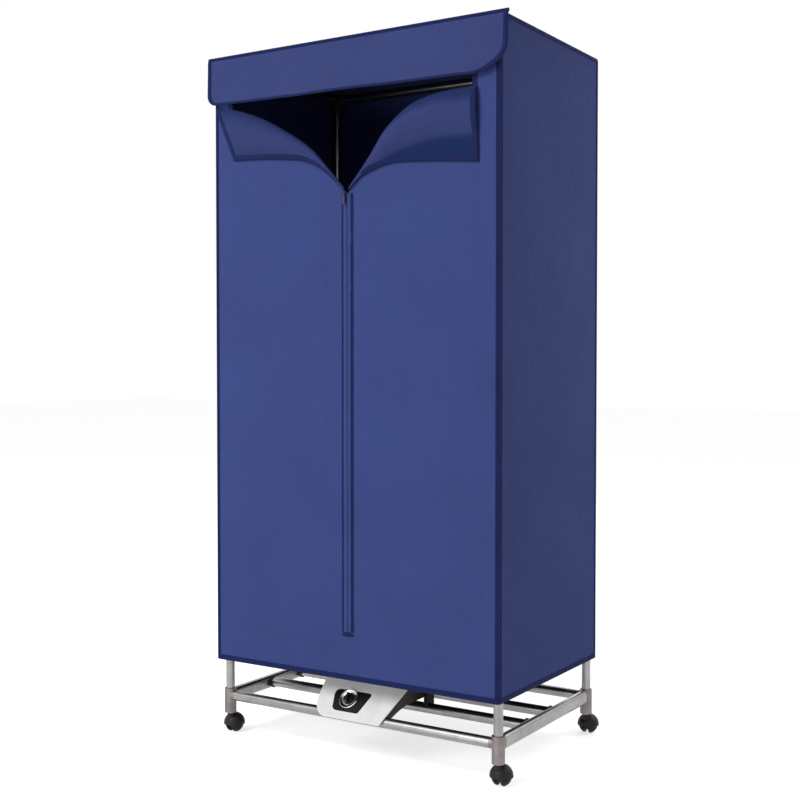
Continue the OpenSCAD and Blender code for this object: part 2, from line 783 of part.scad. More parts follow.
// Tub: the lower housing, open at the top, on feet that straddle the rails
module heater_tub() {
    color("black") difference() {
        union() {
            intersection() {
                heater_flanks(0);
                bar_yz(-cover_w / 2, cover_w / 2) behind_fascia(fascia_t, tub_floor, lid_z, tub_back);
            }
            intersection() {
                difference() {
                    heater_flanks(0);
                    translate([0, -0.5, 0]) heater_flanks(shell_t + 0.5);
                }
                bar_yz(-cover_w / 2, cover_w / 2) cheek_outline();
            }
            box([-rear_foot_w / 2, heater_rail_back - rear_foot_d / 2, rail_z + 3],
                [rear_foot_w / 2, heater_rail_back + rear_foot_d / 2, tub_floor + 1]);
            side_feet();
            element_ledges();
        }
        difference() {
            intersection() {
                heater_flanks(shell_t);
                bar_yz(-cover_w / 2, cover_w / 2)
                    behind_fascia(fascia_t + shell_t, tub_floor + shell_t, lid_z + 1, tub_back - shell_t);
            }
            element_ledges();
        }
        rail_saddles();
        translate([0, fan_y, tub_floor - 1]) cylinder(d = intake_d, h = shell_t + 2);
        translate([0, tub_back - shell_t - 1, gland_z]) along_y() cylinder(d = 12, h = shell_t + 2);
        timer_hole();
    }
}

// Ledges on the tub's side walls carry the ends of the heating element
module element_ledges() {
    intersection() {
        heater_flanks(shell_t / 2);
        for (side = [-1, 1]) on_left_or_right(side)
            box([element_w / 2 - 8, fan_y - element_d / 2 + 6, element_z - seat_gap - 4],
                [cover_w / 2, fan_y + element_d / 2 - 6, element_z - seat_gap]);
    }
}

// The tub is cut away behind the control panel for the timer
module timer_hole() {
    half = timer_w / 2 + 2;
    on_fascia() translate([-knob_left - half, knob_up - half, -fascia_t - timer_h - 2])
        cube([2 * half, 2 * half, timer_h + 2.5]);
}

module on_fascia() {
    translate([0, lip_y, lip_z]) rotate([fascia_tilt, 0, 0]) children();
}

// Fascia: a sloped white plate over the tub's front
module heater_fascia() {
    color("whitesmoke") difference() {
        intersection() {
            heater_flanks(0);
            bar_yz(-cover_w / 2, cover_w / 2) polygon([
                [slope_y(lip_z, 0), lip_z], [slope_y(lip_z, fascia_t), lip_z],
                [slope_y(lid_z, fascia_t), lid_z], [slope_y(lid_z, 0), lid_z]]);
        }
        on_fascia() translate([-knob_left, knob_up, -fascia_t - 1])
            cylinder(d = shaft_d + 4, h = fascia_t + 2);
    }
}

// Control panel: a dark plate with slanted ends let onto the fascia
module control_panel() {
    color("black") on_fascia() difference() {
        translate([-knob_left, knob_up, 0]) linear_extrude(panel_t) polygon(panel_points());
        translate([-knob_left, knob_up, -1]) cylinder(d = shaft_d + 4, h = panel_t + 2);
    }
}

// Outline of the panel about the knob's axis
function panel_points() =
    let (corners = [[-panel_left_low, -panel_below], [panel_right_low, -panel_below],
             [panel_right_high, panel_above], [-panel_left_high, panel_above]],
         r = [panel_left_r, panel_right_r, panel_right_r, panel_left_r])
    [for (i = [0:3]) each rounded(corners[(i + 3) % 4], corners[i], corners[(i + 1) % 4], r[i], 6)];

// Bezel: a bright ring with a chamfered rim, dished towards the knob
module knob_bezel() {
    inner = knob_d / 2 + 0.5;
    outer = knob_d / 2 + bezel_w;
    color("silver") on_fascia() translate([-knob_left, knob_up, panel_t]) rotate_extrude()
        polygon(concat([[inner, 0], [outer, 0], [outer, bezel_h - 1]],
            arc_points([outer - 1.2, bezel_h], [inner, bezel_floor], bezel_hollow, 8)));
}

// Timer knob: a skirted cap with a finger bar, on its shaft
module timer_knob() {
    color("black") on_fascia() translate([-knob_left, knob_up, panel_t]) {
        translate([0, 0, seat_gap]) cylinder(d = knob_d, h = 4);
        translate([0, 0, seat_gap]) cylinder(d1 = knob_d - 4, d2 = knob_d - 8, h = 6);
        intersection() {
            translate([-finger_bar_w / 2, -knob_d / 2, 1]) cube([finger_bar_w, knob_d, knob_h - 1]);
            cylinder(d = knob_d - 3, h = knob_h);
        }
        translate([0, 0, -fascia_t - panel_t - 6]) cylinder(d = shaft_d, h = fascia_t + panel_t + 7);
    }
}

// Timer: the clockwork block behind the fascia, with the bush that its shaft turns in
module timer_unit() {
    color("ivory") on_fascia() translate([-knob_left, knob_up, -fascia_t]) difference() {
        union() {
            translate([-timer_w / 2, -timer_w / 2, -timer_h]) cube([timer_w, timer_w, timer_h - seat_gap]);
            translate([0, 0, -seat_gap - 1]) cylinder(d = shaft_d + 3.4, h = fascia_t + seat_gap + 1);
        }
        translate([0, 0, -8]) cylinder(d = shaft_d + 2 * run_gap, h = 8 + fascia_t + 1);
    }
}

// Lid: the heater's top with the warm-air outlet
module heater_lid() {
    slots = 11;
    slot_w = 6;
    slot_len = element_d / 2 - 2;
    pitch = (element_w - slot_w) / (slots - 1);
    color("dimgray") difference() {
        intersection() {
            heater_flanks(0);
            bar_yz(-cover_w / 2, cover_w / 2) behind_fascia(0, lid_z, heater_top, tub_back);
        }
        intersection() {
            heater_flanks(shell_t);
            bar_yz(-cover_w / 2, cover_w / 2)
                behind_fascia(shell_t, lid_z - 1, heater_top - shell_t, tub_back - shell_t);
        }
        for (i = [0:slots - 1], half = [0, 1])
            translate([-element_w / 2 + i * pitch, fan_y - element_d / 2 + half * (slot_len + 4),
                heater_top - shell_t - 1]) cube([slot_w, slot_len, shell_t + 2]);
    }
}

// Intake grille: rings and spokes under the tub, with the plate that carries the motor
module intake_grille() {
    z0 = tub_floor - 3;
    color("black") translate([0, fan_y, 0]) difference() {
        union() {
            translate([0, 0, z0]) difference() {
                cylinder(d = intake_d + 10, h = 3);
                translate([0, 0, -1]) cylinder(d = intake_d - 6, h = 5);
            }
            for (d = [52:20:intake_d - 18]) translate([0, 0, z0]) difference() {
                cylinder(d = d + 4, h = 3);
                translate([0, 0, -1]) cylinder(d = d, h = 5);
            }
            translate([0, 0, z0]) cylinder(d = hub_d - 6, h = tub_floor - z0);
            for (a = [0:45:315]) rotate(a) translate([0, -1.5, z0]) cube([intake_d / 2 - 1, 3, 3]);
            translate([0, 0, z0]) difference() {
                cylinder(d = intake_d - 1, h = 3 + shell_t);
                translate([0, 0, -1]) cylinder(d = intake_d - 6, h = 6 + shell_t);
            }
        }
        translate([0, -fan_y, 0]) rail_saddles();
        translate([-rear_foot_w / 2 - 1, heater_rail_back - fan_y - rear_foot_d / 2 - 1, z0 - 1])
            cube([rear_foot_w + 2, rear_foot_d + intake_d, 5]);
    }
}

module fan_motor() {
    color("silver") translate([0, fan_y, tub_floor]) {
        cylinder(d = motor_d, h = motor_h);
        cylinder(d = fan_shaft_d, h = fan_z + fan_h - tub_floor - 2);
    }
}

// Fan impeller: a cup over the motor with pitched blades
module fan_impeller() {
    color("gray") translate([0, fan_y, fan_z]) difference() {
        union() {
            cylinder(d = hub_d, h = fan_h);
            for (i = [0:fan_blades - 1]) rotate(i * 360 / fan_blades)
                translate([hub_d / 2 - 2, 0, fan_h / 2]) rotate([38, 0, 0])
                    translate([0, -blade_w / 2, -1]) cube([fan_d / 2 - hub_d / 2, blade_w, 2]);
        }
        translate([0, 0, -1]) cylinder(d = hub_d - 6, h = fan_h - 4);
        cylinder(d = fan_shaft_d + 2 * run_gap, h = fan_h - 2 + run_gap);
    }
}

// Heating element: a frame of warm-air fins on two cross bars
module heating_element() {
    fins = 15;
    fin_t = 1.2;
    pitch = (element_w - 8) / (fins - 1);
    color("goldenrod") translate([-element_w / 2, fan_y - element_d / 2, element_z]) {
        difference() {
            cube([element_w, element_d, element_h]);
            translate([3, 3, -1]) cube([element_w - 6, element_d - 6, element_h + 2]);
        }
        for (i = [1:fins - 2]) translate([4 + i * pitch - fin_t / 2, 1, 1])
            cube([fin_t, element_d - 2, element_h - 2]);
        for (y = [element_d / 3, element_d * 2 / 3]) translate([1, y - 2, element_h / 2 - 4])
            cube([element_w - 2, 4, 8]);
    }
}

module thermal_cutout() {
    color("silver") translate([0, fan_y + element_d / 2, element_z + element_h / 2]) along_y() {
        cylinder(d = 14, h = 4);
        cylinder(d = 8, h = 9);
    }
}

module cable_gland() {
    color("black") translate([0, tub_back, gland_z]) along_y() {
        translate([0, 0, -shell_t - 4]) cylinder(d = 11.6, h = shell_t + 4);
        cylinder(d = 18, h = 3);
        cylinder(d1 = 13, d2 = 9, h = 11);
    }
}

// ---------- nodes ----------

base_rail(post_y_front);  // base_front_rail
base_rail(post_y_back);  // base_rear_rail
base_side_rail(-1);  // base_left_rail
base_side_rail(1);  // base_right_rail
heater_rails();
heater_rail_brackets();
base_sockets();
caster_stems();
lower_post(CORNERS[0]);  // front_left_lower_post
lower_post(CORNERS[1]);  // front_right_lower_post
lower_post(CORNERS[2]);  // rear_left_lower_post
lower_post(CORNERS[3]);  // rear_right_lower_post
upper_posts();
mid_connectors();
top_connectors();
side_rails(mid_z);  // mid_side_rails
hanging_rods(mid_z);  // mid_hanging_rods
top_cross_rails();
side_rails(top_z);  // top_side_rails
hanging_rods(top_z);  // top_hanging_rods
rod_hooks();
place_caster(CORNERS[0]) caster_hood();  // front_left_caster_hood
place_caster(CORNERS[1]) caster_hood();  // front_right_caster_hood
place_caster(CORNERS[2]) caster_hood();  // rear_left_caster_hood
place_caster(CORNERS[3]) caster_hood();  // rear_right_caster_hood
place_caster(CORNERS[0]) caster_wheels();  // front_left_caster_wheels
place_caster(CORNERS[1]) caster_wheels();  // front_right_caster_wheels
place_caster(CORNERS[2]) caster_wheels();  // rear_left_caster_wheels
place_caster(CORNERS[3]) caster_wheels();  // rear_right_caster_wheels
cover_roof();
cover_back();
cover_side(-1);  // cover_left_side
cover_side(1);  // cover_right_side
cover_apron();
cover_stiles();
cover_piping();
door_panel(-1);  // left_door_panel
door_panel(1);  // right_door_panel
flap(-1);  // left_flap
flap(1);  // right_flap
zip_tape(-1);  // left_zip_tape
zip_tape(1);  // right_zip_tape
zip_slider();
zip_pull();
valance();
heater_tub();
heater_lid();
heater_fascia();
control_panel();
knob_bezel();
timer_knob();
timer_unit();
intake_grille();
fan_motor();
fan_impeller();
heating_element();
thermal_cutout();
cable_gland();
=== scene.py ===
import math

import bpy
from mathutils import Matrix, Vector, noise


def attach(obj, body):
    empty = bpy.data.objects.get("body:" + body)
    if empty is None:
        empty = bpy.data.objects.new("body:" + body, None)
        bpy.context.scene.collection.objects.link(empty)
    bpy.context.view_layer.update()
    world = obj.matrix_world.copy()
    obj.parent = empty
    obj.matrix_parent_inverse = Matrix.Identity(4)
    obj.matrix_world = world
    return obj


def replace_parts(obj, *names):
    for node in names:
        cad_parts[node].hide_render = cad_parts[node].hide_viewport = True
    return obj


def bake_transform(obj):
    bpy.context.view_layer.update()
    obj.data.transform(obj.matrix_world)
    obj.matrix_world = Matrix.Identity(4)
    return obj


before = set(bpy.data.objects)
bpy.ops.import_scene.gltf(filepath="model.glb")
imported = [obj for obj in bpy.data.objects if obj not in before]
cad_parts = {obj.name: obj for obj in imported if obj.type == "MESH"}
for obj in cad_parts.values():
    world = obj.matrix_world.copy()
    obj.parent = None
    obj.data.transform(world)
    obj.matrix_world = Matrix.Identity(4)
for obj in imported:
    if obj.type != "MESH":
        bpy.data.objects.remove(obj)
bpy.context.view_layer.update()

LEFT, RIGHT = -1, 1      # the two sides, as signs of X
SIDE_NAME = {LEFT: "left", RIGHT: "right"}
CORNERS = ("front_left", "front_right", "rear_left", "rear_right")
WHITE = (1, 1, 1, 1)
OUT, UP = Vector((0, -1, 0)), Vector((0, 0, 1))     # out of the front, and up


def placed(name, data):
    """A new object in the scene."""
    made = bpy.data.objects.new(name, data)
    bpy.context.scene.collection.objects.link(made)
    return made


# ---------- camera: the photograph's angle ----------

LENS, SENSOR_WIDTH = 55.71, 36                # in millimetres
CAMERA_DOWN, CAMERA_ROUND = 1.629, 32.417     # degrees below level, and round from the front

camera_data = bpy.data.cameras.new("camera")
camera_data.lens, camera_data.sensor_width = LENS, SENSOR_WIDTH
camera = placed("camera", camera_data)
camera.location = (1.4447, -2.3038, 0.8153)
camera.rotation_euler = (math.radians(90 - CAMERA_DOWN), 0, math.radians(CAMERA_ROUND))
bpy.context.scene.camera = camera

# ---------- materials ----------

NOISE_LOW, NOISE_HIGH = 0.3, 0.7     # most values of a noise texture lie between these


class Paint:
    """A material being made. Its methods add nodes, and give the output that the next one takes."""

    def __init__(self, name, **fixed):
        self.material = bpy.data.materials.new(name)
        self.material.use_nodes = True
        self.tree = self.material.node_tree
        self.shader = self.tree.nodes["Principled BSDF"]
        for socket, value in fixed.items():
            self.shader.inputs[socket.replace("_", " ")].default_value = value
        self.place = self.tree.nodes.new("ShaderNodeTexCoord").outputs["Object"]

    def wire(self, value, socket):
        """Link the socket to an output, or set it to a value."""
        if isinstance(value, bpy.types.NodeSocket):
            self.tree.links.new(value, socket)
        else:
            socket.default_value = value

    def node(self, kind, inputs, output=0, **settings):
        """A shader node's output. inputs gives a value or another node's output for each socket."""
        made = self.tree.nodes.new(f"ShaderNode{kind}")
        for key, value in settings.items():
            setattr(made, key, value)
        for socket, value in inputs.items():
            self.wire(value, made.inputs[socket])
        return made.outputs[output]

    def stretched(self, scale):
        return self.node("Mapping", {"Vector": self.place, "Scale": scale})

    def speckle(self, scale, detail=3.0, vector=None):
        return self.node("TexNoise", {"Vector": vector or self.place, "Scale": scale, "Detail": detail})

    def bands(self, axis, scale):
        return self.node("TexWave", {"Vector": self.place, "Scale": scale}, "Fac", bands_direction=axis)

    def sum(self, *values):
        total = values[0]
        for value in values[1:]:
            total = self.node("Math", {0: total, 1: value})
        return total

    def scaled(self, value, factor):
        return self.node("Math", {0: value, 1: factor}, operation="MULTIPLY")

    def between(self, value, low, high, start=NOISE_LOW, end=NOISE_HIGH):
        """A number from low to high, as value goes from start to end."""
        return self.node("MapRange", {0: value, 1: start, 2: end, 3: low, 4: high})

    def tones(self, value, dark, light, start=NOISE_LOW, end=NOISE_HIGH):
        """A colour from dark to light, as value goes from start to end."""
        ramp = self.tree.nodes.new("ShaderNodeValToRGB")
        for stop, place, color in zip(ramp.color_ramp.elements, (start, end), (dark, light)):
            stop.position, stop.color = place, (*color, 1)
        self.wire(value, ramp.inputs[0])
        return ramp.outputs[0]

    def bump(self, height, distance, strength, under=None):
        """A normal bent by the height. under is a bump that it lies on."""
        inputs = {"Height": height, "Distance": distance, "Strength": strength}
        if under:
            inputs["Normal"] = under
        return self.node("Bump", inputs)

    def finish(self, color, roughness, normal):
        for socket, value in (("Base Color", color), ("Roughness", roughness), ("Normal", normal)):
            self.wire(value, self.shader.inputs[socket])
        return self.material


def shade(color, factor):
    return tuple(c * factor for c in color)


def cloth(name, color, pitch=0.0011, relief=0.00012, mottle=0.07, dark=None):
    """Woven cloth: threads along all three axes, slow tone changes, and faint creases. With dark, the
    point attribute of painted shade takes the cloth from its color to the dark one."""
    p = Paint(name, Sheen_Weight=0.04, Sheen_Roughness=0.5, Specular_IOR_Level=0.12)
    thread_scale = math.pi / 10 / pitch     # at this scale a wave texture's bands are a pitch apart
    weave = p.sum(*(p.bands(axis, thread_scale) for axis in "XYZ"))
    tone = p.sum(p.speckle(5, detail=2), p.scaled(p.speckle(90, detail=4), 0.55), p.scaled(weave, 0.05))
    creases = p.speckle(22, vector=p.stretched((1, 1, 0.45)))
    if dark:
        # painted shade: a point attribute darkens the cloth towards dark where the lapel's fold and roll
        # shade it
        painted_shade = p.node("Attribute", {}, "Fac", attribute_name="painted_shade")
        color = p.tones(painted_shade, color, dark, start=0.0, end=1.0)
    lightness = p.between(tone, 1 - mottle, 1 + mottle, start=0.55, end=1.05)
    return p.finish(
        p.node("VectorMath", {0: color, "Scale": lightness}, operation="SCALE"),
        p.between(p.speckle(60), 0.78, 0.92),
        p.bump(weave, relief, 0.8, under=p.bump(creases, 0.0022, 0.35)))


def steel(axis):
    """Drawn stainless tube, brushed along its axis."""
    across, along = 900.0, 6.0     # scales of the brush marks
    p = Paint(f"steel_{axis}", Metallic=1.0)
    marks = p.stretched(tuple(along if letter == axis else across for letter in "XYZ"))
    brush = p.speckle(1, detail=4, vector=marks)
    return p.finish(p.tones(p.speckle(30), (0.25, 0.247, 0.243), (0.33, 0.326, 0.32)),
                    p.between(brush, 0.24, 0.36), p.bump(brush, 0.00008, 0.5))


def plain_metal(name, dark, light, rough):
    """Cast or pressed metal: a fine grain, in tones from dark to light."""
    p = Paint(name, Metallic=1.0)
    grain = p.speckle(260, detail=4)
    return p.finish(p.tones(p.speckle(35), dark, light), p.between(grain, *rough),
                    p.bump(grain, 0.00006, 0.5))


def moulding(name, color, rough, shine=0.5, grain=900, depth=0.00008):
    """Moulded plastic: a fine grain, with the tone and gloss of handled parts."""
    p = Paint(name, Specular_IOR_Level=shine)
    wear = p.speckle(28, detail=4)
    return p.finish(p.tones(wear, shade(color, 0.93), shade(color, 1.05)),
                    p.between(wear, *rough), p.bump(p.speckle(grain, detail=2), depth, 0.6))


blue_cloth = cloth("blue_cloth", (0.0425, 0.0625, 0.214))
valance_cloth = cloth("valance_cloth", (0.040, 0.055, 0.180))
# dark is painted shade, laid on the lapel by its point attribute under the fold and below the roll
lapel_cloth = cloth("lapel_cloth", (0.035, 0.049, 0.162), dark=(0.0065, 0.019, 0.088))
navy_tape = cloth("navy_tape", (0.0095, 0.0175, 0.088), pitch=0.0008, relief=0.00015, mottle=0.12)
steel_x, steel_y, steel_z = (steel(axis) for axis in "XYZ")
cast_silver = plain_metal("cast_silver", (0.17, 0.15, 0.147), (0.24, 0.215, 0.21), rough=(0.4, 0.52))
bright_metal = plain_metal("bright_metal", (0.50, 0.50, 0.50), (0.60, 0.60, 0.60), rough=(0.16, 0.26))
zip_metal = plain_metal("zip_metal", (0.035, 0.04, 0.08), (0.055, 0.06, 0.11), rough=(0.4, 0.55))
motor_metal = plain_metal("motor_metal", (0.42, 0.42, 0.42), (0.52, 0.52, 0.52), rough=(0.35, 0.5))
fin_metal = plain_metal("fin_metal", (0.55, 0.54, 0.50), (0.66, 0.65, 0.61), rough=(0.3, 0.42))
caster_black = moulding("caster_black", (0.013, 0.011, 0.011), rough=(0.42, 0.55), shine=0.22)
tread_black = moulding("tread_black", (0.014, 0.012, 0.012), rough=(0.5, 0.68), shine=0.22,
                       grain=500, depth=0.00012)
connector_black = moulding("connector_black", (0.022, 0.022, 0.024), rough=(0.45, 0.58), shine=0.35)
heater_black = moulding("heater_black", (0.007, 0.0065, 0.006), rough=(0.5, 0.62), shine=0.12,
                        grain=700, depth=0.00012)
heater_white = moulding("heater_white", (0.90, 0.89, 0.88), rough=(0.3, 0.4), shine=0.3,
                        grain=300, depth=0.00002)
panel_black = moulding("panel_black", (0.005, 0.005, 0.005), rough=(0.3, 0.42), shine=0.15,
                       grain=300, depth=0.00002)
nylon = moulding("nylon", (0.58, 0.56, 0.50), rough=(0.4, 0.5))

# ---------- finishes of the CAD nodes ----------

FINISH = {
    steel_x: ["base_front_rail", "base_rear_rail", "heater_rails", "top_cross_rails",
              "mid_hanging_rods", "top_hanging_rods"],
    steel_y: ["base_left_rail", "base_right_rail", "mid_side_rails", "top_side_rails"],
    steel_z: [f"{corner}_lower_post" for corner in CORNERS] + ["upper_posts"],
    cast_silver: ["base_sockets"],
    bright_metal: ["caster_stems", "knob_bezel"],
    zip_metal: ["zip_slider", "zip_pull"],
    connector_black: ["heater_rail_brackets", "mid_connectors", "top_connectors", "rod_hooks"],
    caster_black: [f"{corner}_caster_hood" for corner in CORNERS],
    tread_black: [f"{corner}_caster_wheels" for corner in CORNERS],
    heater_black: ["heater_tub", "heater_lid", "intake_grille", "cable_gland"],
    heater_white: ["heater_fascia"],
    panel_black: ["control_panel", "timer_knob"],
    nylon: ["timer_unit", "fan_impeller"],
    motor_metal: ["fan_motor", "thermal_cutout"],
    fin_metal: ["heating_element"],
}
# Width of the rounding on the edges of moulded and cast parts, and the sharpest bend left as it is
ROUNDED = {"heater_tub": 0.0008, "heater_lid": 0.0008, "heater_fascia": 0.0012,
           "control_panel": 0.0005, "knob_bezel": 0.0006, "timer_knob": 0.0006,
           "base_sockets": 0.0006, "zip_slider": 0.0003, "zip_pull": 0.0003}
ROUNDED_ANGLE = math.radians(38)

for material, nodes in FINISH.items():
    for name in nodes:
        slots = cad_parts[name].data.materials
        slots.clear()
        slots.append(material)

for name, width in ROUNDED.items():
    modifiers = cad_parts[name].modifiers
    modifiers.new("weld", "WELD").merge_threshold = 0.00002
    bevel = modifiers.new("bevel", "BEVEL")
    bevel.width, bevel.segments = width, 2
    bevel.limit_method, bevel.angle_limit = "ANGLE", ROUNDED_ANGLE
    modifiers.new("normals", "WEIGHTED_NORMAL").keep_sharp = True

# ---------- mesh helpers ----------

SHARP_ANGLE = math.radians(48)     # edges that bend more than this stay sharp


def piece(name, verts, faces, materials, which=None):
    """A mesh object. which gives the material's number for each face."""
    mesh = bpy.data.meshes.new(name)
    mesh.from_pydata([tuple(v) for v in verts], [], faces)
    for material in materials:
        mesh.materials.append(material)
    if which is not None:
        mesh.polygons.foreach_set("material_index", which)
    mesh.polygons.foreach_set("use_smooth", [True] * len(faces))
    mesh.update()
    mesh.set_sharp_from_angle(angle=SHARP_ANGLE)
    return placed(name, mesh)


def shell(rows, thickness):
    """Vertices and faces of a closed skin, thickness thick, about a grid of points."""
    n, m = len(rows), len(rows[0])

    def near(i, j):
        return rows[max(0, min(n - 1, i))][max(0, min(m - 1, j))]

    verts = []
    for half in (0.5, -0.5):
        for i in range(n):
            for j in range(m):
                normal = (near(i + 1, j) - near(i - 1, j)).cross(near(i, j + 1) - near(i, j - 1))
                verts.append(rows[i][j] + normal.normalized() * thickness * half)
    back = n * m
    faces = []
    for i in range(n - 1):
        for j in range(m - 1):
            a, b = i * m + j, (i + 1) * m + j
            faces += [(a, b, b + 1, a + 1), (back + a + 1, back + b + 1, back + b, back + a)]
    rim = ([i * m for i in range(n)] + [(n - 1) * m + j for j in range(1, m)]
           + [i * m + m - 1 for i in range(n - 2, -1, -1)] + list(range(m - 2, 0, -1)))
    for a, b in zip(rim, rim[1:] + rim[:1]):
        faces.append((b, a, back + a, back + b))
    return verts, faces


def sweep(path, axes, profile, closed=False):
    """Vertices and faces of a closed profile carried along a path. axes gives each point's two
    directions."""
    count, size = len(path), len(profile)
    verts = [p + u * a + v * b for p, (u, v) in zip(path, axes) for a, b in profile]
    faces = []
    for i in range(count if closed else count - 1):
        here, there = i * size, (i + 1) % count * size
        for j in range(size):
            k = (j + 1) % size
            faces.append((here + j, here + k, there + k, there + j))
    if not closed:
        faces += [tuple(range(size - 1, -1, -1)), tuple(range((count - 1) * size, count * size))]
    return verts, faces


def joined(*parts):
    """Several (vertices, faces) as one."""
    verts, faces = [], []
    for some_verts, some_faces in parts:
        faces += [tuple(i + len(verts) for i in f) for f in some_faces]
        verts += some_verts
    return verts, faces


def run(start, end, step):
    """Points on a straight line, about a step apart."""
    count = max(2, round((end - start).length / step))
    return [start.lerp(end, k / count) for k in range(count + 1)]


def ring_points(count):
    """Points of a circle of radius 1."""
    return [(math.cos(2 * math.pi * k / count), math.sin(2 * math.pi * k / count)) for k in range(count)]


def curve(points):
    """A smooth function through (x, z) points that never overshoots them."""
    xs, zs = [p[0] for p in points], [p[1] for p in points]
    rises = [(zs[k + 1] - zs[k]) / (xs[k + 1] - xs[k]) for k in range(len(xs) - 1)]
    slopes = [rises[0]] + [2 * a * b / (a + b) if a * b > 0 else 0.0
                           for a, b in zip(rises, rises[1:])] + [rises[-1]]

    def at(x):
        x = max(xs[0], min(xs[-1], x))
        k = next(i for i in range(len(xs) - 1) if x <= xs[i + 1])
        h = xs[k + 1] - xs[k]
        t = (x - xs[k]) / h
        return (zs[k] * (1 + 2 * t) * (1 - t) ** 2 + zs[k + 1] * t * t * (3 - 2 * t)
                + h * slopes[k] * t * (1 - t) ** 2 - h * slopes[k + 1] * t * t * (1 - t))

    return at


def smooth(t):
    """A smooth step from 0 at t = 0 to 1 at t = 1."""
    t = max(0.0, min(1.0, t))
    return t * t * (3 - 2 * t)


def edge_ease(t, margin):
    """0 at both ends of 0..1 and 1 inside, over a margin."""
    return smooth(t / margin) * smooth((1 - t) / margin)


def ripple(x, y, scale, seed):
    """A soft irregular wave between about -1 and 1, with hills about a scale apart."""
    return noise.noise(Vector((x / scale, y / scale, seed)))


# ---------- sizes of the cover, in metres ----------

COVER_TOP, HEM, HEM_H = 1.482, 0.168, 0.0105
SIDE_X, FRONT_Y, BACK_Y = 0.350, -0.228, 0.228
HINGE_X = 0.3447                           # a door's outer edge
CLOTH_T, TUCK = 0.0014, 0.0008             # the cloth's thickness, and how far in its middle lies
PANEL_TOP = COVER_TOP - 0.004
NUDGE = 1e-4                               # closer than this, two measures are the same
VEE_Z, ZIP_BOTTOM = 1.167, 0.267           # the zip is closed between these heights
FOLD_END_X = 0.302                         # where a door's fold meets its top edge
STILE_X = {LEFT: 0.302, RIGHT: 0.290}      # inner edge of the strip beside the opening
DOOR_TOP = {LEFT: 1.347, RIGHT: 1.343}     # up to here the front cloth reaches beside the opening, and the stile goes on above
FOLD = {LEFT: curve([(0.0, 1.166), (0.045, 1.214), (0.088, 1.258), (0.158, 1.303),
                     (0.230, 1.339), (0.302, 1.363), (0.346, 1.372)]),
        RIGHT: curve([(0.0, 1.166), (0.030, 1.200), (0.059, 1.235), (0.100, 1.287),
                      (0.163, 1.328), (0.230, 1.341), (0.308, 1.344)])}
FREE_EDGE = {LEFT: curve([(0.0, 1.164), (0.050, 1.208), (0.085, 1.230), (0.118, 1.241),
                          (0.200, 1.250), (0.293, 1.255)]),
             RIGHT: curve([(0.0, 1.164), (0.030, 1.191), (0.055, 1.203), (0.118, 1.216),
                           (0.200, 1.212), (0.308, 1.202)])}
LAPEL_START = 0.006                        # a lapel starts this far from the middle,
LAPEL_END = {LEFT: 0.346, RIGHT: 0.301}    # its fold ends here,
LAPEL_CORNER = {LEFT: 0.294, RIGHT: 0.304}     # and its free edge here

# ---------- sides, back and roof ----------

CLOTH_X, CLOTH_BACK = SIDE_X - TUCK, BACK_Y - TUCK
PANEL_H = PANEL_TOP - HEM
SIDE_SIZE = (BACK_Y - FRONT_Y - 2 * TUCK, PANEL_H)
BACK_SIZE = (2 * CLOTH_X, PANEL_H)
ROOF_SIZE = (2 * CLOTH_X, 2 * CLOTH_BACK)
PANEL_STEPS = (0.012, 0.016)     # the mesh's step across a panel, and up it
FEWEST_STEPS = 8


def box_panel(name, node, place, size, normal, billow, sag, seed):
    """One flat side of the cover: place(s, t) gives the point, pushed out along normal by soft billows
    and by sag along its middle."""
    width, height = size
    nu, nv = (max(FEWEST_STEPS, round(length / step)) for length, step in zip(size, PANEL_STEPS))
    rows = []
    for i in range(nu + 1):
        row = []
        for j in range(nv + 1):
            s, t = i / nu, j / nv
            push = billow * (0.8 * ripple(s * width, t * height, 0.30, seed)
                             + 0.5 * ripple(s * width, t * height * 0.6, 0.11, seed + 5.3))
            ease = edge_ease(s, 0.12) * edge_ease(t, 0.06)
            row.append(place(s, t) + normal * ((push + sag * 4 * s * (1 - s)) * ease))
        rows.append(row)
    made = piece(name, *shell(rows, CLOTH_T), [blue_cloth])
    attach(made, "root")
    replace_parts(made, node)


def side_panel(side):
    def place(s, t):
        return Vector((side * CLOTH_X, side * (s - 0.5) * SIDE_SIZE[0], HEM + t * PANEL_H))

    box_panel(f"{SIDE_NAME[side]}_side_cloth", f"cover_{SIDE_NAME[side]}_side", place, SIDE_SIZE,
              Vector((side, 0, 0)), billow=0.0022, sag=0.0015, seed=3.1 + side)


def back_panel():
    def place(s, t):
        return Vector(((s - 0.5) * BACK_SIZE[0], CLOTH_BACK, HEM + t * PANEL_H))

    box_panel("back_cloth", "cover_back", place, BACK_SIZE,
              Vector((0, 1, 0)), billow=0.0026, sag=0.002, seed=8.7)


def roof_panel():
    def place(s, t):
        return Vector(((s - 0.5) * ROOF_SIZE[0], (t - 0.5) * ROOF_SIZE[1], COVER_TOP - TUCK))

    box_panel("roof_cloth", "cover_roof", place, ROOF_SIZE,
              UP, billow=0.0012, sag=-0.0034, seed=12.4)


side_panel(LEFT)
side_panel(RIGHT)
back_panel()
roof_panel()

# ---------- front: apron and doors in one cloth -------------------------------------------------

FLAT_Y = FRONT_Y + TUCK     # the middle of the front cloth where it lies flat
BORDER_X = 0.3405           # the navy binding of the front starts here
SLIT = 0.0005               # half the gap where the two halves meet above the apron
BAND_W = 0.0115             # width of the navy bands on the front
FOLD_GAP = 0.003            # a door's cloth ends this far below its fold
BILLOW = 0.0012             # how far the front stands out between its seams
WAVES = ((0.0017, 0.55, 0.24, 20), (0.0008, 0.7, 0.07, 31))     # height, stretch upwards, scale, seed
PUCKER, PUCKER_PITCH = 0.0005, 0.055     # depth of the puckers along the zip, and from one to the next
PUCKER_X, PUCKER_SPREAD = 0.03, 0.02     # where they are deepest, and how far they reach


